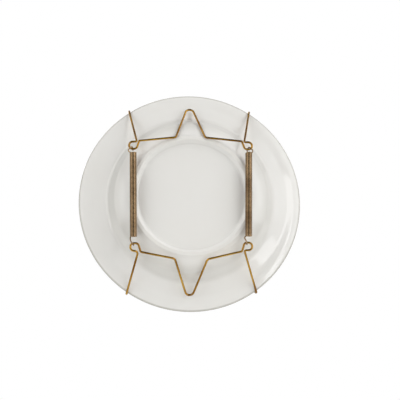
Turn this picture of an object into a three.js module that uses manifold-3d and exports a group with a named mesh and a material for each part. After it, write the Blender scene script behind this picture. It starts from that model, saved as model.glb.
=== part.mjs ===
// A display plate hung on a spring wire plate hanger, as it hangs on a wall.
// Millimetres, +Z up. The display face looks towards -Y and the hanger is on the back, towards +Y.
// The origin is where the nail bears, under the bend at the top of the upper wire frame.
import * as THREE from 'three';
import { mergeVertices } from 'three/addons/utils/BufferGeometryUtils.js';
import Module from 'manifold-3d';

const wasm = await Module();
wasm.setup();

// Plate. Heights are measured towards the back from the plane of the rim's edge.
const plateRadius = 127;
const rimThickness = 4.2;
const shoulderInset = 33;
const shoulderHeight = 8.3;
const bellyRun = 7.5;
const bellyRise = 8.7;
const wallRun = 15.3;
const wallRise = 7.4;
const wallThickness = 4.3;
const footFlank = 3;
const footRise = 2.3;
const footWidth = 3.8;
const recessFlank = 3.9;
const recessDepth = 4.7;
const floorThickness = 4.5;
const plateSegments = 96;

// Hanger wire and what it clears.
const wireDiameter = 2.3;
const clearance = 0.3;
const clawLength = 6;
const clawBend = 1.6;
const eyeletRadius = 4.2;
const neckBend = 1.5;
const apexBend = 4.8;
const apexGap = 3.2;
const wireSides = 8;

// The two wire frames. An inset is measured along the vertical, inwards from the plate's top or
// bottom edge, and a spread to each side of the middle. A shift moves a stretch of the bent wire
// towards +X, and the skew sets one foot of the V further out than the other. The arm on the +X
// side, left as seen from the back, may leave its eyelet in a wider bend than the other arm.
const upperWire = {
  direction: 1,
  clawSpread: 70.7,
  leftArmBend: 1.5,
  eyeletSpread: 64.85,
  eyeletInset: 71.4,
  eyeletShift: 0.45,
  cornerSpread: 16.75,
  cornerInset: 60.8,
  cornerShift: 0.55,
  cornerSkew: 0,
  cornerBend: 3,
  apexInset: 20.5,
  apexShift: 0.3,
};
const lowerWire = {
  direction: -1,
  clawSpread: 71.6,
  leftArmBend: 3.4,
  eyeletSpread: 61.8,
  eyeletInset: 67.7,
  eyeletShift: 1.2,
  cornerSpread: 17.7,
  cornerInset: 54.8,
  cornerShift: 1.7,
  cornerSkew: 0.5,
  cornerBend: 4.5,
  apexInset: 17.3,
  apexShift: 3.5,
};

// Extension springs.
const springDiameter = 8;
const springWireDiameter = 1.4;
const linkGap = 0.75;
const upperHookLength = 3.4;
const lowerHookLength = 6.2;
const springSides = 24;
const hookSides = 8;

// Sizes that follow from the ones above.
const shoulderRadius = plateRadius - shoulderInset;
const bellyRadius = shoulderRadius - bellyRun;
const bellyHeight = shoulderHeight + bellyRise;
const wallTopRadius = bellyRadius - wallRun;
const wallTopHeight = bellyHeight + wallRise;
const footOuterRadius = wallTopRadius - footFlank;
const footInnerRadius = footOuterRadius - footWidth;
const footHeight = wallTopHeight + footRise;
const recessRadius = footInnerRadius - recessFlank;
const baseHeight = footHeight - recessDepth;
const wireRadius = wireDiameter / 2;
const springRadius = springDiameter / 2;
const springWireRadius = springWireDiameter / 2;
const springHeight = footHeight + clearance + springRadius;
const cornerHeight = footHeight + clearance + wireRadius;
const rimHalf = rimThickness / 2;

// A wire frame with its insets turned into distances from the plate's middle.
function measuredFrame(wire) {
  return {
    ...wire,
    eyeletReach: plateRadius - wire.eyeletInset,
    cornerReach: plateRadius - wire.cornerInset,
    apexReach: plateRadius - wire.apexInset,
  };
}

const upperFrame = measuredFrame(upperWire);
const lowerFrame = measuredFrame(lowerWire);

// Rounds each inner corner of an open line by an arc. A corner is a point and its bend radius.
function roundedLine(corners, degreesPerStep) {
  const stations = [corners[0].point];
  for (let i = 1; i < corners.length - 1; i += 1) {
    const { point, bend } = corners[i];
    const arriving = point.clone().sub(corners[i - 1].point);
    const leaving = corners[i + 1].point.clone().sub(point);
    const room = 0.49 * Math.min(arriving.length(), leaving.length());
    arriving.normalize();
    leaving.normalize();
    const turn = arriving.angleTo(leaving);
    const reach = Math.min(bend * Math.tan(turn / 2), room);
    const radius = reach / Math.tan(turn / 2);
    const inward = leaving.clone().sub(arriving).normalize();
    const centre = point.clone().addScaledVector(inward, radius / Math.cos(turn / 2));
    const first = point.clone().addScaledVector(arriving, -reach).sub(centre);
    const last = point.clone().addScaledVector(leaving, reach).sub(centre);
    const steps = Math.max(1, Math.ceil(THREE.MathUtils.radToDeg(turn) / degreesPerStep));
    for (let step = 0; step <= steps; step += 1) {
      const share = step / steps;
      const station = centre.clone();
      station.addScaledVector(first, Math.sin((1 - share) * turn) / Math.sin(turn));
      station.addScaledVector(last, Math.sin(share * turn) / Math.sin(turn));
      stations.push(station);
    }
  }
  stations.push(corners[corners.length - 1].point);
  return stations;
}

// A path with one station wherever the wire changes direction, and none along its straights.
class StationPath extends THREE.Curve {
  constructor(stations) {
    super();
    this.stations = stations;
  }

  indexAt(share) {
    return Math.round(share * (this.stations.length - 1));
  }

  getPointAt(share, target = new THREE.Vector3()) {
    return target.copy(this.stations[this.indexAt(share)]);
  }

  getTangentAt(share, target = new THREE.Vector3()) {
    const index = this.indexAt(share);
    const here = this.stations[index];
    target.set(0, 0, 0);
    if (index > 0) target.add(here.clone().sub(this.stations[index - 1]).normalize());
    if (index < this.stations.length - 1) {
      target.add(this.stations[index + 1].clone().sub(here).normalize());
    }
    return target.normalize();
  }
}

function roundSection(radius, sides) {
  const points = [];
  for (let side = 0; side < sides; side += 1) {
    const angle = (side / sides) * 2 * Math.PI;
    points.push(new THREE.Vector2(radius * Math.cos(angle), radius * Math.sin(angle)));
  }
  return new THREE.Shape(points);
}

function sweptWire(stations, radius, sides) {
  return new THREE.ExtrudeGeometry(roundSection(radius, sides), {
    steps: stations.length - 1,
    bevelEnabled: false,
    extrudePath: new StationPath(stations),
  });
}

function solidFrom(geometry) {
  const bare = geometry.clone();
  bare.deleteAttribute('normal');
  bare.deleteAttribute('uv');
  const merged = mergeVertices(bare);
  return new wasm.Manifold(new wasm.Mesh({
    numProp: 3,
    vertProperties: merged.attributes.position.array,
    triVerts: merged.index.array,
  }));
}

function geometryFrom(solid) {
  const mesh = solid.getMesh();
  const geometry = new THREE.BufferGeometry();
  geometry.setAttribute('position', new THREE.BufferAttribute(mesh.vertProperties, 3));
  geometry.setIndex(new THREE.BufferAttribute(mesh.triVerts, 1));
  geometry.computeVertexNormals();
  return geometry;
}

// Height of the rim's back face at a radius between the shoulder and the edge.
function rimHeightAt(radius) {
  const share = (radius - shoulderRadius) / (plateRadius - shoulderRadius);
  return THREE.MathUtils.lerp(shoulderHeight, rimHalf, share);
}

// Where two lines of the plate's section cross, each moved forwards by its own thickness.
function frontCrossing(lineA, thicknessA, lineB, thicknessB) {
  const moved = [[lineA, thicknessA], [lineB, thicknessB]].map(([[from, to], thickness]) => {
    const along = to.clone().sub(from).normalize();
    const forwards = new THREE.Vector2(along.y, -along.x);
    if (forwards.y > 0) forwards.negate();
    return { from: from.clone().addScaledVector(forwards, thickness), along };
  });
  const [a, b] = moved;
  const between = b.from.clone().sub(a.from);
  const share = between.cross(b.along) / a.along.cross(b.along);
  return a.from.clone().addScaledVector(a.along, share);
}

function plateGeometry() {
  const edgeBack = new THREE.Vector2(plateRadius, rimHalf);
  const shoulder = new THREE.Vector2(shoulderRadius, shoulderHeight);
  const belly = new THREE.Vector2(bellyRadius, bellyHeight);
  const wallTop = new THREE.Vector2(wallTopRadius, wallTopHeight);
  const floorHeight = baseHeight - floorThickness;
  const floor = [new THREE.Vector2(0, floorHeight), new THREE.Vector2(1, floorHeight)];
  const frontShoulder = frontCrossing([belly, shoulder], wallThickness, [shoulder, edgeBack], rimThickness);
  const frontBelly = frontCrossing([wallTop, belly], wallThickness, [belly, shoulder], wallThickness);
  const floorEdge = frontCrossing([wallTop, belly], wallThickness, floor, 0);
  const section = [
    { at: [0, floorHeight] },
    { at: [floorEdge.x, floorEdge.y], bend: 12 },
    { at: [frontBelly.x, frontBelly.y], bend: 8 },
    { at: [frontShoulder.x, frontShoulder.y], bend: 10 },
    { at: [plateRadius, -rimHalf], bend: 0.9 * rimHalf },
    { at: [plateRadius, rimHalf], bend: 0.9 * rimHalf },
    { at: [shoulderRadius, shoulderHeight], bend: 8 },
    { at: [bellyRadius, bellyHeight], bend: 9 },
    { at: [wallTopRadius, wallTopHeight], bend: 1.5 },
    { at: [footOuterRadius, footHeight], bend: 1.6 },
    { at: [footInnerRadius, footHeight], bend: 1.6 },
    { at: [recessRadius, baseHeight], bend: 3 },
    { at: [0, baseHeight] },
  ];
  const corners = section.map(({ at, bend }) => ({ point: new THREE.Vector3(at[0], at[1], 0), bend }));
  const profile = roundedLine(corners, 20).map((point) => new THREE.Vector2(point.x, point.y));
  return new THREE.LatheGeometry(profile, plateSegments);
}

// Corners of one half of a wire frame, from the claw's free end to the foot of the V.
// Points are given as sideways, height and up.
function halfFrameCorners(frame, side) {
  const { direction } = frame;
  const place = (spread, height, reach) => new THREE.Vector3(side * spread, height, direction * reach);
  const eyeletSpread = frame.eyeletSpread + side * frame.eyeletShift;
  const eyelet = (outward, upward) => place(eyeletSpread + outward, springHeight, frame.eyeletReach + upward);
  const armOutward = -(eyeletRadius + 0.2);
  const armUpward = eyeletRadius + 0.1;
  const rimReach = Math.sqrt(plateRadius ** 2 - frame.clawSpread ** 2);
  const armRun = frame.clawSpread - (eyeletSpread + armOutward);
  const armRise = rimReach - (frame.eyeletReach + armUpward);
  const arm = new THREE.Vector2(armRun, armRise).normalize();
  const facing = (arm.x * frame.clawSpread + arm.y * rimReach) / plateRadius;
  const outset = (wireRadius + clearance) / facing;
  const clawDepth = rimHalf + clearance + wireRadius;
  const claw = (along, height) => place(
    frame.clawSpread + along * arm.x,
    height,
    rimReach + along * arm.y,
  );
  return [
    { point: claw(outset - clawLength, -clawDepth) },
    { point: claw(outset, -clawDepth), bend: clawBend },
    { point: claw(outset, rimHalf + clearance), bend: clawBend },
    { point: eyelet(armOutward, armUpward), bend: side > 0 ? frame.leftArmBend : neckBend },
    { point: eyelet(eyeletRadius, eyeletRadius), bend: eyeletRadius },
    { point: eyelet(eyeletRadius, -eyeletRadius), bend: eyeletRadius },
    { point: eyelet(0.3 - eyeletRadius, -eyeletRadius), bend: 0.9 * eyeletRadius },
    { point: eyelet(-eyeletRadius - 2.8, eyeletRadius + 1.2), bend: neckBend },
    {
      point: place(
        frame.cornerSpread + side * frame.cornerShift,
        cornerHeight,
        frame.cornerReach - side * frame.cornerSkew,
      ),
      bend: frame.cornerBend,
    },
  ];
}

// The V's two legs run as tangents of its top bend, so they would cross beyond it.
function apexCorner(frame) {
  const bendReach = frame.apexReach - apexBend - frame.cornerReach;
  const toBend = Math.atan2(frame.cornerSpread, bendReach);
  const lean = toBend - Math.asin(apexBend / Math.hypot(frame.cornerSpread, bendReach));
  const crossing = frame.cornerReach + frame.cornerSpread / Math.tan(lean);
  const apexHeight = rimHeightAt(frame.apexReach) + wireRadius + apexGap;
  const share = (crossing - frame.cornerReach) / (frame.apexReach - frame.cornerReach);
  const height = THREE.MathUtils.lerp(cornerHeight, apexHeight, share);
  return {
    point: new THREE.Vector3(frame.apexShift, height, frame.direction * crossing),
    bend: apexBend,
  };
}

function wireFrameGeometry(frame) {
  const corners = [
    ...halfFrameCorners(frame, 1),
    apexCorner(frame),
    ...halfFrameCorners(frame, -1).reverse(),
  ];
  return sweptWire(roundedLine(corners, 30), wireRadius, wireSides);
}

// The middle of the eyelet's wire where the spring's hook pulls on it.
function linkPoint(frame, side) {
  return new THREE.Vector3(
    side * frame.eyeletSpread + frame.eyeletShift,
    springHeight,
    frame.direction * (frame.eyeletReach - eyeletRadius),
  );
}

// One end hook: it rises from one side of the coil and goes round the eyelet's wire at the origin.
function hookGeometry(hookLength, side, direction) {
  const hookRadius = wireRadius + springWireRadius + linkGap;
  const coilRadius = springRadius - springWireRadius;
  const arcSteps = 6;
  const points = [
    new THREE.Vector3(side * coilRadius, 0, -direction * (hookLength + springWireDiameter)),
    new THREE.Vector3(side * coilRadius, 0.2 * hookRadius, -direction * 0.8 * hookLength),
  ];
  for (let step = 0; step <= arcSteps; step += 1) {
    const angle = THREE.MathUtils.degToRad(-10 + (220 * step) / arcSteps);
    const outward = side * 0.45 * coilRadius * (1 - step / arcSteps);
    points.push(new THREE.Vector3(
      outward,
      hookRadius * Math.cos(angle),
      direction * hookRadius * Math.sin(angle),
    ));
  }
  const curve = new THREE.CatmullRomCurve3(points, false, 'centripetal');
  return sweptWire(curve.getSpacedPoints(16), springWireRadius, hookSides);
}

// A spring stands along its own Z, with the upper link at its origin.
function springGeometry(length, upperSide, lowerSide) {
  const bottom = -length + lowerHookLength;
  const top = -upperHookLength;
  const inner = springRadius - springWireDiameter;
  const profile = [
    [inner, bottom], [springRadius, bottom], [springRadius, top], [inner, top], [inner, bottom],
  ].map(([radius, height]) => new THREE.Vector2(radius, height));
  const coil = new THREE.LatheGeometry(profile, springSides).rotateX(Math.PI / 2);
  const upperHook = hookGeometry(upperHookLength, upperSide, 1);
  const lowerHook = hookGeometry(lowerHookLength, lowerSide, -1).translate(0, 0, -length);
  return geometryFrom(solidFrom(coil).add(solidFrom(upperHook)).add(solidFrom(lowerHook)));
}

// The springs are alike, and each is hooked in as it came, so their upper hooks face both ways.
function springMesh(name, side, upperSide, lowerSide, material) {
  const upper = linkPoint(upperFrame, side);
  const lower = linkPoint(lowerFrame, side);
  const along = upper.clone().sub(lower);
  const mesh = new THREE.Mesh(springGeometry(along.length(), upperSide, lowerSide), material);
  mesh.name = name;
  mesh.position.copy(upper);
  mesh.quaternion.setFromUnitVectors(new THREE.Vector3(0, 0, 1), along.normalize());
  return mesh;
}

function namedMesh(name, geometry, material) {
  const mesh = new THREE.Mesh(geometry, material);
  mesh.name = name;
  return mesh;
}

const porcelain = new THREE.MeshStandardMaterial({ color: 0xe5e3df, roughness: 0.12, metalness: 0 });
const brassWire = new THREE.MeshStandardMaterial({ color: 0xb98b45, roughness: 0.3, metalness: 1 });
const springWire = new THREE.MeshStandardMaterial({ color: 0x8f7750, roughness: 0.38, metalness: 1 });

const object = new THREE.Group();
const nailHeight = rimHeightAt(upperFrame.apexReach) + wireRadius + apexGap;
object.position.set(0, -nailHeight, -(upperFrame.apexReach - wireRadius));
object.add(namedMesh('plate', plateGeometry(), porcelain));
object.add(namedMesh('upper_wire_frame', wireFrameGeometry(upperFrame), brassWire));
object.add(namedMesh('lower_wire_frame', wireFrameGeometry(lowerFrame), brassWire.clone()));
object.add(springMesh('left_spring', 1, 1, 1, springWire));
object.add(springMesh('right_spring', -1, -1, 1, springWire.clone()));

export default object;
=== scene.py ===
import bpy
import bmesh
import math
from mathutils import Matrix, Vector


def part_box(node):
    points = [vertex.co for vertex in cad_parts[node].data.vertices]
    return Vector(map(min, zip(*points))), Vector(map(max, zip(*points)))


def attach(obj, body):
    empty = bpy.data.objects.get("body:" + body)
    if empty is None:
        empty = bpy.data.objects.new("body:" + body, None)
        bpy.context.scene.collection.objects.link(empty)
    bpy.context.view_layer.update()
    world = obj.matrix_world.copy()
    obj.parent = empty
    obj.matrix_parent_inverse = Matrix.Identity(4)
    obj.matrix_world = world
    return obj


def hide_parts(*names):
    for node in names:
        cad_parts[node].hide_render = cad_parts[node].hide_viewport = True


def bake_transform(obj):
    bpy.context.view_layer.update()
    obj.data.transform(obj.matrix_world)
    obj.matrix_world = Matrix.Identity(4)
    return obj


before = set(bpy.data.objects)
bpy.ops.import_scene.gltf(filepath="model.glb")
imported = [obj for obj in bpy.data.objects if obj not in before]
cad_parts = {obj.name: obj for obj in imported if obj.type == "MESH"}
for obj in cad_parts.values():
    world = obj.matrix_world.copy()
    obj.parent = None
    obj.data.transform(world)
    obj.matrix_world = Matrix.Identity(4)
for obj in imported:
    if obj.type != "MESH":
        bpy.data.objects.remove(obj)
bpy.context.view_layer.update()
bpy.ops.object.select_all(action="DESELECT")
print("frame loaded")

mm = 0.001
footHeight = 26.7  # back of the foot ring above the rim's middle plane, the furthest back the plate goes
plateLow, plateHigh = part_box("plate")
plateMiddle = Vector((0, plateHigh[1] - footHeight * mm, (plateLow[2] + plateHigh[2]) / 2))


def spotAt(aside, height, upward):
    # millimetres from the plate's middle: aside towards +X, height out of the back, and upward
    return plateMiddle + Vector((aside, height, upward)) * mm


def srgb(hexCode, alpha=1.0):
    # a web colour turned to the linear values that the shaders want
    parts = [int(hexCode[i:i + 2], 16) / 255 for i in (0, 2, 4)]
    linear = [p / 12.92 if p <= 0.04045 else ((p + 0.055) / 1.055) ** 2.4 for p in parts]
    return (*linear, alpha)


def addNode(tree, kind, settings, links=()):
    # settings are sockets where the node has one of that name, or else its own options
    node = tree.nodes.new(kind)
    for name, value in settings.items():
        if name in node.inputs.keys():
            node.inputs[name].default_value = value
        else:
            setattr(node, name, value)
    for socket, source in links:
        tree.links.new(source, node.inputs[socket])
    return node


def newMaterial(name):
    material = bpy.data.materials.new(name)
    material.use_nodes = True
    tree = material.node_tree
    tree.nodes.clear()
    return material, tree


# camera, where the plate is seen from its back and a little from below
camera = {
    "spot": (41.9, 739.7, -178.5),
    "aim": (-10.9, 0.8, 0.0),
    "roll": -0.96,
    "lens": 59.7,
}


def addCamera():
    spot = spotAt(*camera["spot"])
    bpy.ops.object.camera_add(location=spot)
    eye = bpy.context.object
    look = spotAt(*camera["aim"]) - spot
    turn = look.to_track_quat("-Z", "Y").to_matrix()
    roll = Matrix.Rotation(math.radians(camera["roll"]), 3, "Z")
    eye.rotation_euler = (turn @ roll).to_euler()
    eye.data.lens = camera["lens"]
    eye.data.dof.use_dof = False
    bpy.context.scene.camera = eye


addCamera()
print("camera set")

# the plate: jiggered porcelain, so one section spun round
plate = {
    # radius, height and bend of each corner of the section, from the well's middle round to the back's
    "section": (
        (0, 17.5, 0),
        (76.17, 17.5, 12),  # the well turns down into the wall
        (83.72, 13.84, 8),  # the wall's belly
        (91.61, 4.68, 10),  # the wall turns out into the rim
        (127, -2.1, 1.89),  # rim's edge, front
        (127, 2.1, 1.89),  # rim's edge, back
        (119, 3.75, 40),  # the rim rolls gently in and out, as the shaping tool left it
        (111.5, 4.6, 40),
        (94, 8.3, 8),  # shoulder
        (86.5, 17.0, 9),  # belly of the wall
        (71.2, 24.4, 1.5),  # where the foot ring stands on the wall
        (68.2, footHeight, 1.6),
        (64.4, footHeight, 1.6),
        (60.5, 22, 3),  # inside of the foot ring meets the base
        (0, 22, 0),
    ),
    "bendSteps": 7,
    "straightCuts": (7, 3, 1),
    "longestEdge": 4,
    "leastShare": 0.6,  # an edge is cut only where its parts stay longer than this share of longestEdge
    "steps": 192,
    "seam": 0.01,  # points closer than this are merged where the spin closes
}


def drawLine(name, points):
    # one point, drawn on from place to place as a loose line of edges
    bpy.ops.mesh.primitive_plane_add(size=mm, location=points[0])
    line = bpy.context.object
    line.name = name
    bpy.ops.object.transform_apply(location=True, rotation=True, scale=True)
    bpy.ops.object.mode_set(mode="EDIT")
    bpy.ops.mesh.select_all(action="SELECT")
    bpy.ops.mesh.merge(type="CENTER")
    for here, there in zip(points, points[1:]):
        bpy.ops.mesh.extrude_region_move(TRANSFORM_OT_translate={"value": there - here})
    return line


def selectPoint(shape, spot):
    mesh = bmesh.from_edit_mesh(shape.data)
    bpy.ops.mesh.select_all(action="DESELECT")
    bpy.ops.mesh.select_mode(type="VERT")
    nearest = min(mesh.verts, key=lambda vert: (vert.co - spot).length)
    nearest.select_set(True)
    bmesh.update_edit_mesh(shape.data)


def makePlate():
    section = plate["section"]
    spots = [spotAt(radius, height, 0) for radius, height, bend in section]
    dish = drawLine("glazed_plate", spots)
    for i in range(1, len(section) - 1):
        arriving = spots[i] - spots[i - 1]
        leaving = spots[i + 1] - spots[i]
        reach = section[i][2] * mm * math.tan(arriving.angle(leaving) / 2)
        selectPoint(dish, spots[i])
        bpy.ops.mesh.bevel(offset_type="OFFSET", offset=reach, segments=plate["bendSteps"],
                           profile=0.5, affect="VERTICES", clamp_overlap=False)
    # long straights are cut up, so the soft shading keeps to the bends
    for cuts in plate["straightCuts"]:
        mesh = bmesh.from_edit_mesh(dish.data)
        bpy.ops.mesh.select_all(action="DESELECT")
        bpy.ops.mesh.select_mode(type="EDGE")
        shortest = plate["longestEdge"] * mm * (cuts + 1) * plate["leastShare"]
        for edge in mesh.edges:
            edge.select_set(edge.calc_length() > shortest)
        bmesh.update_edit_mesh(dish.data)
        bpy.ops.mesh.subdivide(number_cuts=cuts)
    bpy.ops.mesh.select_all(action="SELECT")
    bpy.ops.mesh.spin(steps=plate["steps"], angle=2 * math.pi, center=plateMiddle, axis=(0, 1, 0))
    bpy.ops.mesh.select_all(action="SELECT")
    bpy.ops.mesh.remove_doubles(threshold=plate["seam"] * mm)
    bpy.ops.mesh.normals_make_consistent(inside=False)
    bpy.ops.object.mode_set(mode="OBJECT")
    bpy.ops.object.shade_smooth()
    return dish


glazedPlate = makePlate()
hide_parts("plate")
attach(glazedPlate, "dish")
bpy.ops.object.select_all(action="DESELECT")
print("plate spun,", len(glazedPlate.data.polygons), "faces")

# the two wire frames: drawn brass wire bent on a jig
hanger = {
    "wire": 2.3,
    "clearance": 0.3,
    "clawLength": 6.0,
    "clawBend": 1.6,
    "eyeletRadius": 4.2,
    "neck": (0.2, 0.1),  # how far past the eyelet's circle the arm meets it, inward and towards the rim
    "closingInset": 0.3,  # the eyelet's last corner stops this far short of its circle
    "closingBend": 0.9,  # and bends to this share of its radius
    "crossbarStart": (2.8, 1.2),  # how far past the circle the crossbar starts, inward and towards the rim
    "neckBend": 1.5,
    "apexBend": 4.8,
    "apexGap": 3.2,
    "springHeight": 31.0,  # height at which the eyelets and springs lie
    "cornerHeight": 28.15,  # height of the wire where it lies across the foot ring
    "rimRadius": 127.0,
    "rimHalf": 2.1,
    "shoulder": (94.0, 8.3),  # radius and height where the back of the rim meets the wall
    "bendShare": 0.49,  # a bend takes no more than this share of the straights beside it
    "bendSteps": 8,
    "ringSteps": 4,
    "endChamfer": 0.25,
    "chamferSteps": 2,
    "seam": 0.005,
    "smoothBelow": 60,  # degrees between faces, past which an edge stays sharp
}

# reaches are from the plate's middle and spreads to each side; a shift moves a stretch towards +X
upperWire = {
    "direction": 1,
    "clawSpread": 70.7,
    "leftArmBend": 1.5,
    "eyeletSpread": 64.85,
    "eyeletReach": 55.6,
    "eyeletShift": 0.45,
    "cornerSpread": 16.75,
    "cornerReach": 66.2,
    "cornerShift": 0.55,
    "cornerSkew": 0.0,
    "cornerBend": 3.0,
    "apexReach": 106.5,
    "apexShift": 0.3,
}
lowerWire = {
    "direction": -1,
    "clawSpread": 71.6,
    "leftArmBend": 3.4,
    "eyeletSpread": 61.8,
    "eyeletReach": 59.3,
    "eyeletShift": 1.2,
    "cornerSpread": 17.7,
    "cornerReach": 72.2,
    "cornerShift": 1.7,
    "cornerSkew": 0.5,
    "cornerBend": 4.5,
    "apexReach": 109.7,
    "apexShift": 3.5,
}


def halfFrame(wire, side):
    # corners of one half, from the claw's free end to the foot of the V, each with its bend
    eyelet = hanger["eyeletRadius"]
    level = hanger["springHeight"]
    middle = wire["eyeletSpread"] + side * wire["eyeletShift"]

    def place(spread, height, reach, bend=0.0):
        return spotAt(side * spread, height, wire["direction"] * reach), bend

    def byEyelet(outward, upward, bend):
        return place(middle + outward, level, wire["eyeletReach"] + upward, bend)

    neckInward, neckUpward = hanger["neck"]
    neck = Vector((-(eyelet + neckInward), eyelet + neckUpward))  # where the arm meets the eyelet
    barInward, barUpward = hanger["crossbarStart"]
    rimReach = math.sqrt(hanger["rimRadius"] ** 2 - wire["clawSpread"] ** 2)
    arm = Vector((wire["clawSpread"] - middle - neck.x, rimReach - wire["eyeletReach"] - neck.y))
    arm.normalize()
    facing = (arm.x * wire["clawSpread"] + arm.y * rimReach) / hanger["rimRadius"]
    outset = (hanger["wire"] / 2 + hanger["clearance"]) / facing
    behind = hanger["rimHalf"] + hanger["clearance"]
    front = -(behind + hanger["wire"] / 2)

    def byClaw(along, height, bend=0.0):
        return place(wire["clawSpread"] + along * arm.x, height, rimReach + along * arm.y, bend)

    armBend = wire["leftArmBend"] if side > 0 else hanger["neckBend"]
    return [
        byClaw(outset - hanger["clawLength"], front),
        byClaw(outset, front, hanger["clawBend"]),
        byClaw(outset, behind, hanger["clawBend"]),
        byEyelet(neck.x, neck.y, armBend),
        byEyelet(eyelet, eyelet, eyelet),
        byEyelet(eyelet, -eyelet, eyelet),
        byEyelet(hanger["closingInset"] - eyelet, -eyelet, hanger["closingBend"] * eyelet),
        byEyelet(-eyelet - barInward, eyelet + barUpward, hanger["neckBend"]),
        place(wire["cornerSpread"] + side * wire["cornerShift"], hanger["cornerHeight"],
              wire["cornerReach"] - side * wire["cornerSkew"], wire["cornerBend"]),
    ]


def apexCorner(wire):
    # the V's legs run as tangents of its top bend, so they would cross beyond it
    bend = hanger["apexBend"]
    run = wire["apexReach"] - bend - wire["cornerReach"]
    legLength = math.hypot(wire["cornerSpread"], run)
    lean = math.atan2(wire["cornerSpread"], run) - math.asin(bend / legLength)
    crossing = wire["cornerReach"] + wire["cornerSpread"] / math.tan(lean)
    shoulderRadius, shoulderHeight = hanger["shoulder"]
    rimShare = (wire["apexReach"] - shoulderRadius) / (hanger["rimRadius"] - shoulderRadius)
    rimBack = shoulderHeight + (hanger["rimHalf"] - shoulderHeight) * rimShare
    apexHeight = rimBack + hanger["wire"] / 2 + hanger["apexGap"]
    share = (crossing - wire["cornerReach"]) / (wire["apexReach"] - wire["cornerReach"])
    height = hanger["cornerHeight"] + (apexHeight - hanger["cornerHeight"]) * share
    return spotAt(wire["apexShift"], height, wire["direction"] * crossing), bend


def bentLine(corners):
    # curve points with their two handles: each corner becomes the start and the end of a round bend
    spots = [corners[0][0]]
    tugs = [Vector()]
    for i in range(1, len(corners) - 1):
        corner, bend = corners[i]
        arriving = corner - corners[i - 1][0]
        leaving = corners[i + 1][0] - corner
        room = hanger["bendShare"] * min(arriving.length, leaving.length)
        turn = arriving.angle(leaving)
        reach = min(bend * mm * math.tan(turn / 2), room)
        tug = 4 / 3 * math.tan(turn / 4) * reach / math.tan(turn / 2)
        spots += [corner - reach * arriving.normalized(), corner + reach * leaving.normalized()]
        tugs += [tug * arriving.normalized(), tug * leaving.normalized()]
    spots.append(corners[-1][0])
    tugs.append(Vector())
    points = []
    for i, (spot, tug) in enumerate(zip(spots, tugs)):
        before = spots[max(i - 1, 0)]
        after = spots[min(i + 1, len(spots) - 1)]
        startsBend = i % 2 == 1
        left = spot + (before - spot) / 3 if startsBend or i == len(spots) - 1 else spot - tug
        right = spot + tug if startsBend and i < len(spots) - 1 else spot + (after - spot) / 3
        points.append((spot, left, right))
    return points


def addWire(name, points, diameter, steps, ring):
    bpy.ops.curve.primitive_bezier_curve_add(location=(0, 0, 0))
    wire = bpy.context.object
    wire.name = name
    line = wire.data.splines[0]
    line.bezier_points.add(len(points) - len(line.bezier_points))
    for point, (spot, left, right) in zip(line.bezier_points, points):
        point.handle_left_type = "FREE"
        point.handle_right_type = "FREE"
        point.co = spot
        point.handle_left = left
        point.handle_right = right
    line.resolution_u = steps
    wire.data.dimensions = "3D"
    wire.data.bevel_depth = diameter * mm / 2
    wire.data.bevel_resolution = ring
    wire.data.use_fill_caps = True
    bpy.ops.object.convert(target="MESH")
    wire = bpy.context.object
    bpy.ops.object.mode_set(mode="EDIT")
    bpy.ops.mesh.select_all(action="SELECT")
    bpy.ops.mesh.remove_doubles(threshold=hanger["seam"] * mm)
    bpy.ops.mesh.normals_make_consistent(inside=False)
    bpy.ops.mesh.select_mode(type="FACE")
    bpy.ops.mesh.select_all(action="DESELECT")
    mesh = bmesh.from_edit_mesh(wire.data)
    for face in mesh.faces:
        face.select_set(len(face.verts) > 4)  # only the two cut ends have more than four corners
    bmesh.update_edit_mesh(wire.data)
    # the cut ends are filed round
    bpy.ops.mesh.bevel(offset=hanger["endChamfer"] * mm * diameter / hanger["wire"],
                       segments=hanger["chamferSteps"], affect="EDGES")
    bpy.ops.object.mode_set(mode="OBJECT")
    bpy.ops.object.shade_smooth_by_angle(angle=math.radians(hanger["smoothBelow"]))
    return wire


def makeFrame(name, wire, node, body):
    corners = halfFrame(wire, 1) + [apexCorner(wire)] + halfFrame(wire, -1)[::-1]
    bent = addWire(name, bentLine(corners), hanger["wire"], hanger["bendSteps"], hanger["ringSteps"])
    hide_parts(node)
    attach(bent, body)
    bpy.ops.object.select_all(action="DESELECT")
    print(name, "bent,", len(bent.data.polygons), "faces")
    return bent


upperFrame = makeFrame("upper_hanger_wire", upperWire, "upper_wire_frame", "hanger_top")
lowerFrame = makeFrame("lower_hanger_wire", lowerWire, "lower_wire_frame", "hanger_bottom")

# the two springs: close wound, each one length of wire from hook tip to hook tip
springs = {
    "wire": 1.4,
    "diameter": 8.0,
    "pitch": 1.405,
    "pointsPerTurn": 12,
    "stepsPerPoint": 2,
    "ringSteps": 2,
    "handleShare": 0.35,  # length of a curve handle as a share of the way to the next point
    "upperHook": 3.4,  # from the link to the coil's end
    "lowerHook": 6.2,
}

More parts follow.
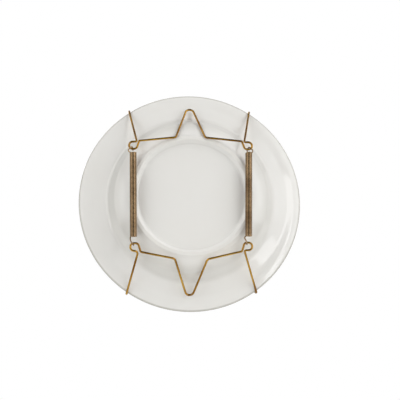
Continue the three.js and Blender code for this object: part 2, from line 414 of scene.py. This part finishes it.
# hook points from the coil out to the tip, in millimetres from the middle of the eyelet's wire where
# the hook pulls: aside towards +X, out of the back, and beyond the wire, away from the coil
leftSpring = {
    "side": 1,
    "coilShift": (-0.2, 0.8),  # how far the coil's top and bottom hang towards +X of their links
    "upperStart": 1,
    "upperHook": (
        (4.5, 0.8, -3.1), (5.0, 1.3, -1.8), (3.6, 2.3, 0.0), (1.4, 1.7, 1.9), (0.6, -0.9, 2.2),
        (0.2, -2.3, 0.1), (0.0, -1.9, -1.4),
    ),
    "lowerStart": 1,
    "lowerHook": (
        (4.2, 0.8, -5.6), (4.3, 1.4, -3.9), (3.4, 2.2, -1.4), (1.4, 1.9, 1.3), (0.9, -0.6, 2.2),
        (0.5, -2.2, 0.3), (0.3, -2.0, -1.2),
    ),
}
rightSpring = {
    "side": -1,
    "coilShift": (-0.5, -0.5),
    "upperStart": -1,
    "upperHook": (
        (-4.5, 0.4, -3.1), (-4.9, 1.0, -1.7), (-3.5, 2.2, 0.0), (-1.5, 1.6, 1.9), (0.0, -0.9, 2.2),
        (0.9, -2.2, 0.1), (1.2, -2.2, -1.4), (0.8, -2.0, -2.3),
    ),
    "lowerStart": 1,
    "lowerHook": (
        (3.9, 0.8, -5.6), (3.9, 1.4, -4.0), (2.6, 2.2, -1.6), (1.6, 1.9, 1.1), (1.3, -0.4, 2.3),
        (0.9, -2.2, 0.4), (0.6, -2.0, -1.2),
    ),
}


def linkSpot(wire, side):
    # middle of the eyelet's wire where the spring pulls
    return spotAt(side * wire["eyeletSpread"] + wire["eyeletShift"], hanger["springHeight"],
                  wire["direction"] * (wire["eyeletReach"] - hanger["eyeletRadius"]))


def makeSpring(name, spring, node):
    upper = linkSpot(upperWire, spring["side"])
    lower = linkSpot(lowerWire, spring["side"])
    along = (upper - lower).normalized()
    outward = Vector((0, 1, 0))
    aside = outward.cross(along).normalized()
    radius = (springs["diameter"] - springs["wire"]) / 2 * mm
    half = springs["wire"] / 2
    upperShift, lowerShift = spring["coilShift"]
    top = upper + (upperShift * aside - (springs["upperHook"] + half) * along) * mm
    bottom = lower + (lowerShift * aside + (springs["lowerHook"] + half) * along) * mm

    def hook(link, points, sense):
        return [link + (a * aside + b * outward + c * sense * along) * mm for a, b, c in points]

    # the coil is right handed, and ends on the sides where its hooks start
    startAngle = 0 if spring["upperStart"] > 0 else math.pi
    endAngle = 0 if spring["lowerStart"] > 0 else math.pi
    partTurn = (startAngle - endAngle) / (2 * math.pi)
    turns = (top - bottom).length / (springs["pitch"] * mm)
    turns = round(turns - partTurn) + partTurn
    count = round(turns * springs["pointsPerTurn"])
    coil = []
    for i in range(count + 1):
        angle = startAngle - 2 * math.pi * turns * i / count
        ring = radius * (math.cos(angle) * aside + math.sin(angle) * outward)
        coil.append(top + (bottom - top) * i / count + ring)
    path = hook(upper, spring["upperHook"], 1)[::-1] + coil + hook(lower, spring["lowerHook"], -1)
    points = []
    for i, spot in enumerate(path):
        before = path[max(i - 1, 0)]
        after = path[min(i + 1, len(path) - 1)]
        run = (after - before).normalized()
        left = spot - run * (spot - before).length * springs["handleShare"]
        right = spot + run * (after - spot).length * springs["handleShare"]
        points.append((spot, left, right))
    wound = addWire(name, points, springs["wire"], springs["stepsPerPoint"], springs["ringSteps"])
    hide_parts(node)
    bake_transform(wound)
    bpy.ops.object.select_all(action="DESELECT")
    print(name, "wound with", round(turns, 1), "turns,", len(wound.data.polygons), "faces")
    return wound


leftCoil = makeSpring("left_wound_spring", leftSpring, "left_spring")
rightCoil = makeSpring("right_wound_spring", rightSpring, "right_spring")

# materials
glaze = {
    "body": "f1f0ed",
    "bodyWarm": "efede8",
    "bare": "edebe6",
    "patch": 60.0,  # millimetres across a cloud of slightly warmer glaze
    "ripple": 22.0,
    "peel": 1.6,  # finer on the real glaze, and drawn this coarse to show
    "rippleDepth": 0.05,
    "peelDepth": 0.004,
    "ior": 1.5,
    "roughness": 0.06,
    "bareRoughness": 0.3,
    "bareDepth": (0.5, 0.25),  # how far below the foot ring's crest the bare clay starts, and is full
    "backFrom": (-0.6, -0.2),  # the surface counts as the back between these shares of facing +Y
    # rings of painted shade on the back, a darker colour standing in for shade: radius, half width, how
    # much of the colour shows, and the colour
    "painted_shade_rings": (
        (60.8, 1.2, 0.35, "dad8d2"),  # painted shade in the corner where the foot ring meets the base
        (85.0, 11.0, 0.7, "dad8d2"),  # painted shade down the wall, dimming it against the rim
        (93.0, 6.0, 0.5, "dad8d2"),  # painted shade in the hollow of the shoulder
        (127.0, 2.8, 1.0, "bab7ae"),  # a painted dark outline round the rim's edge
    ),
}


def glazedPorcelain():
    # white porcelain under a clear fired glaze: milky, glossy, with soft waves where the glaze ran
    material, tree = newMaterial("glazed_porcelain")
    place = addNode(tree, "ShaderNodeTexCoord", {})
    centred = addNode(tree, "ShaderNodeMapping", {"Location": -plateMiddle},
                      [("Vector", place.outputs["Object"])])
    patches = addNode(tree, "ShaderNodeTexNoise", {"Scale": 1 / (glaze["patch"] * mm), "Detail": 2.0},
                      [("Vector", centred.outputs["Vector"])])
    body = addNode(tree, "ShaderNodeMix", {"data_type": "RGBA"}, [("Factor", patches.outputs["Fac"])])
    body.inputs[6].default_value = srgb(glaze["body"])
    body.inputs[7].default_value = srgb(glaze["bodyWarm"])
    axes = addNode(tree, "ShaderNodeSeparateXYZ", {}, [("Vector", centred.outputs["Vector"])])
    # distance from the plate's axis
    flat = addNode(tree, "ShaderNodeCombineXYZ", {}, [("X", axes.outputs["X"]), ("Z", axes.outputs["Z"])])
    radius = addNode(tree, "ShaderNodeVectorMath", {"operation": "LENGTH"},
                     [("Vector", flat.outputs["Vector"])])
    # the back of the plate, with its edge, is where the surface doesn't face the front
    facing = addNode(tree, "ShaderNodeNewGeometry", {})
    outward = addNode(tree, "ShaderNodeSeparateXYZ", {}, [("Vector", facing.outputs["Normal"])])
    backStart, backFull = glaze["backFrom"]
    isBack = addNode(tree, "ShaderNodeMapRange", {"From Min": backStart, "From Max": backFull},
                     [("Value", outward.outputs["Y"])])
    shade = body.outputs[2]
    # each ring mixes its darker colour into the glaze as painted shade
    for middle, half, share, painted_shade_colour in glaze["painted_shade_rings"]:
        offset = addNode(tree, "ShaderNodeMath", {"operation": "SUBTRACT"}, [(0, radius.outputs["Value"])])
        offset.inputs[1].default_value = middle * mm
        away = addNode(tree, "ShaderNodeMath", {"operation": "ABSOLUTE"}, [(0, offset.outputs["Value"])])
        painted_shade_strength = addNode(tree, "ShaderNodeMapRange",
                       {"interpolation_type": "SMOOTHSTEP", "From Min": 0.0, "From Max": half * mm,
                        "To Min": share, "To Max": 0.0},
                       [("Value", away.outputs["Value"])])
        onBack = addNode(tree, "ShaderNodeMath", {"operation": "MULTIPLY"},
                         [(0, painted_shade_strength.outputs["Result"]), (1, isBack.outputs["Result"])])
        painted_shade_mix = addNode(tree, "ShaderNodeMix", {"data_type": "RGBA"},
                         [("Factor", onBack.outputs["Value"]), (6, shade)])
        painted_shade_mix.inputs[7].default_value = srgb(painted_shade_colour)
        shade = painted_shade_mix.outputs[2]
    # the crest of the foot ring is wiped clean before firing, so it is bare and dull
    bareStart, bareFull = glaze["bareDepth"]
    crest = addNode(tree, "ShaderNodeMapRange",
                    {"From Min": (footHeight - bareStart) * mm, "From Max": (footHeight - bareFull) * mm},
                    [("Value", axes.outputs["Y"])])
    colour = addNode(tree, "ShaderNodeMix", {"data_type": "RGBA"}, [("Factor", crest.outputs["Result"])])
    colour.inputs[7].default_value = srgb(glaze["bare"])
    tree.links.new(shade, colour.inputs[6])
    dull = addNode(tree, "ShaderNodeMapRange",
                   {"To Min": glaze["roughness"], "To Max": glaze["bareRoughness"]},
                   [("Value", crest.outputs["Result"])])
    ripple = addNode(tree, "ShaderNodeTexNoise", {"Scale": 1 / (glaze["ripple"] * mm), "Detail": 1.0},
                     [("Vector", centred.outputs["Vector"])])
    peel = addNode(tree, "ShaderNodeTexNoise", {"Scale": 1 / (glaze["peel"] * mm), "Detail": 2.0},
                   [("Vector", centred.outputs["Vector"])])
    waves = addNode(tree, "ShaderNodeBump", {"Strength": 1.0, "Distance": glaze["rippleDepth"] * mm},
                    [("Height", ripple.outputs["Fac"])])
    grain = addNode(tree, "ShaderNodeBump", {"Strength": 1.0, "Distance": glaze["peelDepth"] * mm},
                    [("Height", peel.outputs["Fac"]), ("Normal", waves.outputs["Normal"])])
    surface = addNode(tree, "ShaderNodeBsdfPrincipled", {"IOR": glaze["ior"]},
                      [("Base Color", colour.outputs[2]), ("Roughness", dull.outputs["Result"]),
                       ("Normal", grain.outputs["Normal"])])
    addNode(tree, "ShaderNodeOutputMaterial", {}, [("Surface", surface.outputs["BSDF"])])
    return material


brass = {
    "bright": "caa04c",
    "tarnished": "8a6228",
    "patch": 25.0,
    "patchEdge": (0.35, 0.65),  # noise values where a patch of tarnish starts and is full
    "drawLines": 0.35,  # real draw lines are finer, and these are as coarse as they need to show
    "lineDepth": 0.003,
    "roughness": (0.1, 0.2),
}
springBrass = {
    "bright": "bca27e",
    "tarnished": "846b50",
    "patch": 60.0,
    "patchEdge": (0.35, 0.65),
    "drawLines": 0.3,
    "lineDepth": 0.001,
    "roughness": (0.08, 0.14),
}


def drawnWire(name, look):
    # brass wire pulled through a die: smooth metal with a soft shine that tarnish dulls in patches
    material, tree = newMaterial(name)
    place = addNode(tree, "ShaderNodeTexCoord", {})
    clouds = addNode(tree, "ShaderNodeTexNoise", {"Scale": 1 / (look["patch"] * mm), "Detail": 3.0},
                     [("Vector", place.outputs["Object"])])
    patchStart, patchFull = look["patchEdge"]
    spread = addNode(tree, "ShaderNodeMapRange", {"From Min": patchStart, "From Max": patchFull},
                     [("Value", clouds.outputs["Fac"])])
    colour = addNode(tree, "ShaderNodeMix", {"data_type": "RGBA"}, [("Factor", spread.outputs["Result"])])
    colour.inputs[6].default_value = srgb(look["bright"])
    colour.inputs[7].default_value = srgb(look["tarnished"])
    low, high = look["roughness"]
    dull = addNode(tree, "ShaderNodeMapRange", {"To Min": low, "To Max": high},
                   [("Value", spread.outputs["Result"])])
    lines = addNode(tree, "ShaderNodeTexNoise", {"Scale": 1 / (look["drawLines"] * mm), "Detail": 1.0},
                    [("Vector", place.outputs["Object"])])
    bump = addNode(tree, "ShaderNodeBump", {"Strength": 1.0, "Distance": look["lineDepth"] * mm},
                   [("Height", lines.outputs["Fac"])])
    surface = addNode(tree, "ShaderNodeBsdfPrincipled", {"Metallic": 1.0},
                      [("Base Color", colour.outputs[2]), ("Roughness", dull.outputs["Result"]),
                       ("Normal", bump.outputs["Normal"])])
    addNode(tree, "ShaderNodeOutputMaterial", {}, [("Surface", surface.outputs["BSDF"])])
    return material


def dress(piece, material):
    piece.data.materials.clear()
    piece.data.materials.append(material)


porcelain = glazedPorcelain()
wireBrass = drawnWire("drawn_brass_wire", brass)
coilBrass = drawnWire("aged_brass_spring_wire", springBrass)
for piece, material in ((glazedPlate, porcelain), (upperFrame, wireBrass), (lowerFrame, wireBrass),
                        (leftCoil, coilBrass), (rightCoil, coilBrass)):
    dress(piece, material)
for node, material in (("plate", porcelain), ("upper_wire_frame", wireBrass),
                       ("lower_wire_frame", wireBrass), ("left_spring", coilBrass),
                       ("right_spring", coilBrass)):
    dress(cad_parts[node], material)
print("materials made")

# studio: a pale floor, a white room with a dark end, and three light panels
studio = {
    "floorDrop": 0.75,
    "floorSize": 12,
    "floor": "f4f4f2",
    "floorRoughness": 0.9,
    # brightness of the room by how far round from straight behind, 0, to level with the plate, 1
    "room": ((0.0, 0.03), (0.48, 0.06), (0.6, 2.35), (0.84, 2.25), (0.97, 0.4)),
    "front": 0.7,
    "level": 0.12,  # a dark band level with the plate draws its outline
    "levelFrom": (-0.35, -0.2),  # how far round to the front, along Y, that band starts and is full
    "backFrom": (0.0, 0.2),  # and how far round to the back it gives way to the room behind
    "upright": 0.5,  # below 1, the dark end of the room is taller than it is wide
    "brighterRight": 0.08,  # share by which the room is brighter towards -X and darker towards +X
}

# each panel: degrees round from +Y towards +X, degrees up, degrees wide and high, distance and radiance
panels = {
    "strip_box": (-31.5, 2, 6, 34, 1.5, 3.8),
    "side_box": (-92, 10, 10, 40, 1.6, 1.2),
    "front_box": (152, 32, 46, 30, 1.6, 2.0),
}


def addFloor():
    bpy.ops.mesh.primitive_plane_add(size=studio["floorSize"], location=(0, 0, -studio["floorDrop"]))
    floor = bpy.context.object
    floor.name = "studio_floor"
    material, tree = newMaterial("painted_floor")
    surface = addNode(tree, "ShaderNodeBsdfPrincipled",
                      {"Base Color": srgb(studio["floor"]), "Roughness": studio["floorRoughness"]})
    addNode(tree, "ShaderNodeOutputMaterial", {}, [("Surface", surface.outputs["BSDF"])])
    floor.data.materials.append(material)


def addSurround():
    # white wherever it is seen straight on, and a white room with a dark end as a light
    world = bpy.context.scene.world or bpy.data.worlds.new("surround")
    bpy.context.scene.world = world
    world.use_nodes = True
    tree = world.node_tree
    tree.nodes.clear()
    ray = addNode(tree, "ShaderNodeLightPath", {})
    sky = addNode(tree, "ShaderNodeTexCoord", {})
    axes = addNode(tree, "ShaderNodeSeparateXYZ", {}, [("Vector", sky.outputs["Generated"])])
    across = addNode(tree, "ShaderNodeVectorMath", {"operation": "MULTIPLY"},
                     [(0, sky.outputs["Generated"])])
    across.inputs[1].default_value = (1, 0, studio["upright"])
    away = addNode(tree, "ShaderNodeVectorMath", {"operation": "LENGTH"},
                   [("Vector", across.outputs["Vector"])])
    brightest = max(level for where, level in studio["room"])
    ramp = addNode(tree, "ShaderNodeValToRGB", {}, [("Fac", away.outputs["Value"])])
    while len(ramp.color_ramp.elements) < len(studio["room"]):
        ramp.color_ramp.elements.new(0.5)  # anywhere, as each stop gets its place next
    for stop, (where, level) in zip(ramp.color_ramp.elements, studio["room"]):
        stop.position = where
        stop.color = (level / brightest,) * 3 + (1,)
    tilt = addNode(tree, "ShaderNodeMapRange",
                   {"From Min": -1.0, "From Max": 1.0,
                    "To Min": brightest * (1 + studio["brighterRight"]),
                    "To Max": brightest * (1 - studio["brighterRight"])},
                   [("Value", axes.outputs["X"])])
    back = addNode(tree, "ShaderNodeBackground", {},
                   [("Color", ramp.outputs["Color"]), ("Strength", tilt.outputs["Result"])])
    levelStart, levelFull = studio["levelFrom"]
    ahead = addNode(tree, "ShaderNodeMapRange",
                    {"From Min": levelStart, "From Max": levelFull,
                     "To Min": studio["front"], "To Max": studio["level"]},
                    [("Value", axes.outputs["Y"])])
    front = addNode(tree, "ShaderNodeBackground", {"Color": (1, 1, 1, 1)},
                    [("Strength", ahead.outputs["Result"])])
    backStart, backFull = studio["backFrom"]
    side = addNode(tree, "ShaderNodeMapRange", {"From Min": backStart, "From Max": backFull},
                   [("Value", axes.outputs["Y"])])
    room = addNode(tree, "ShaderNodeMixShader", {},
                   [(0, side.outputs["Result"]), (1, front.outputs["Background"]),
                    (2, back.outputs["Background"])])
    seen = addNode(tree, "ShaderNodeBackground", {"Color": (1, 1, 1, 1), "Strength": 1.0})
    both = addNode(tree, "ShaderNodeMixShader", {},
                   [(0, ray.outputs["Is Camera Ray"]), (1, room.outputs["Shader"]),
                    (2, seen.outputs["Background"])])
    addNode(tree, "ShaderNodeOutputWorld", {}, [("Surface", both.outputs["Shader"])])


def addPanel(name, panel):
    aside, up, wide, high, distance, radiance = panel
    aside, up, wide, high = (math.radians(angle) for angle in (aside, up, wide, high))
    direction = Vector((math.sin(aside) * math.cos(up), math.cos(aside) * math.cos(up), math.sin(up)))
    bpy.ops.object.light_add(type="AREA", location=plateMiddle + direction * distance)
    box = bpy.context.object
    box.name = name
    box.visible_camera = False
    box.rotation_euler = direction.to_track_quat("Z", "Y").to_euler()
    box.data.shape = "RECTANGLE"
    box.data.size = 2 * distance * math.tan(wide / 2)
    box.data.size_y = 2 * distance * math.tan(high / 2)
    box.data.energy = math.pi * radiance * box.data.size * box.data.size_y


addFloor()
addSurround()
for name, panel in panels.items():
    addPanel(name, panel)
bpy.context.scene.view_settings.view_transform = "Standard"
print("studio lit")
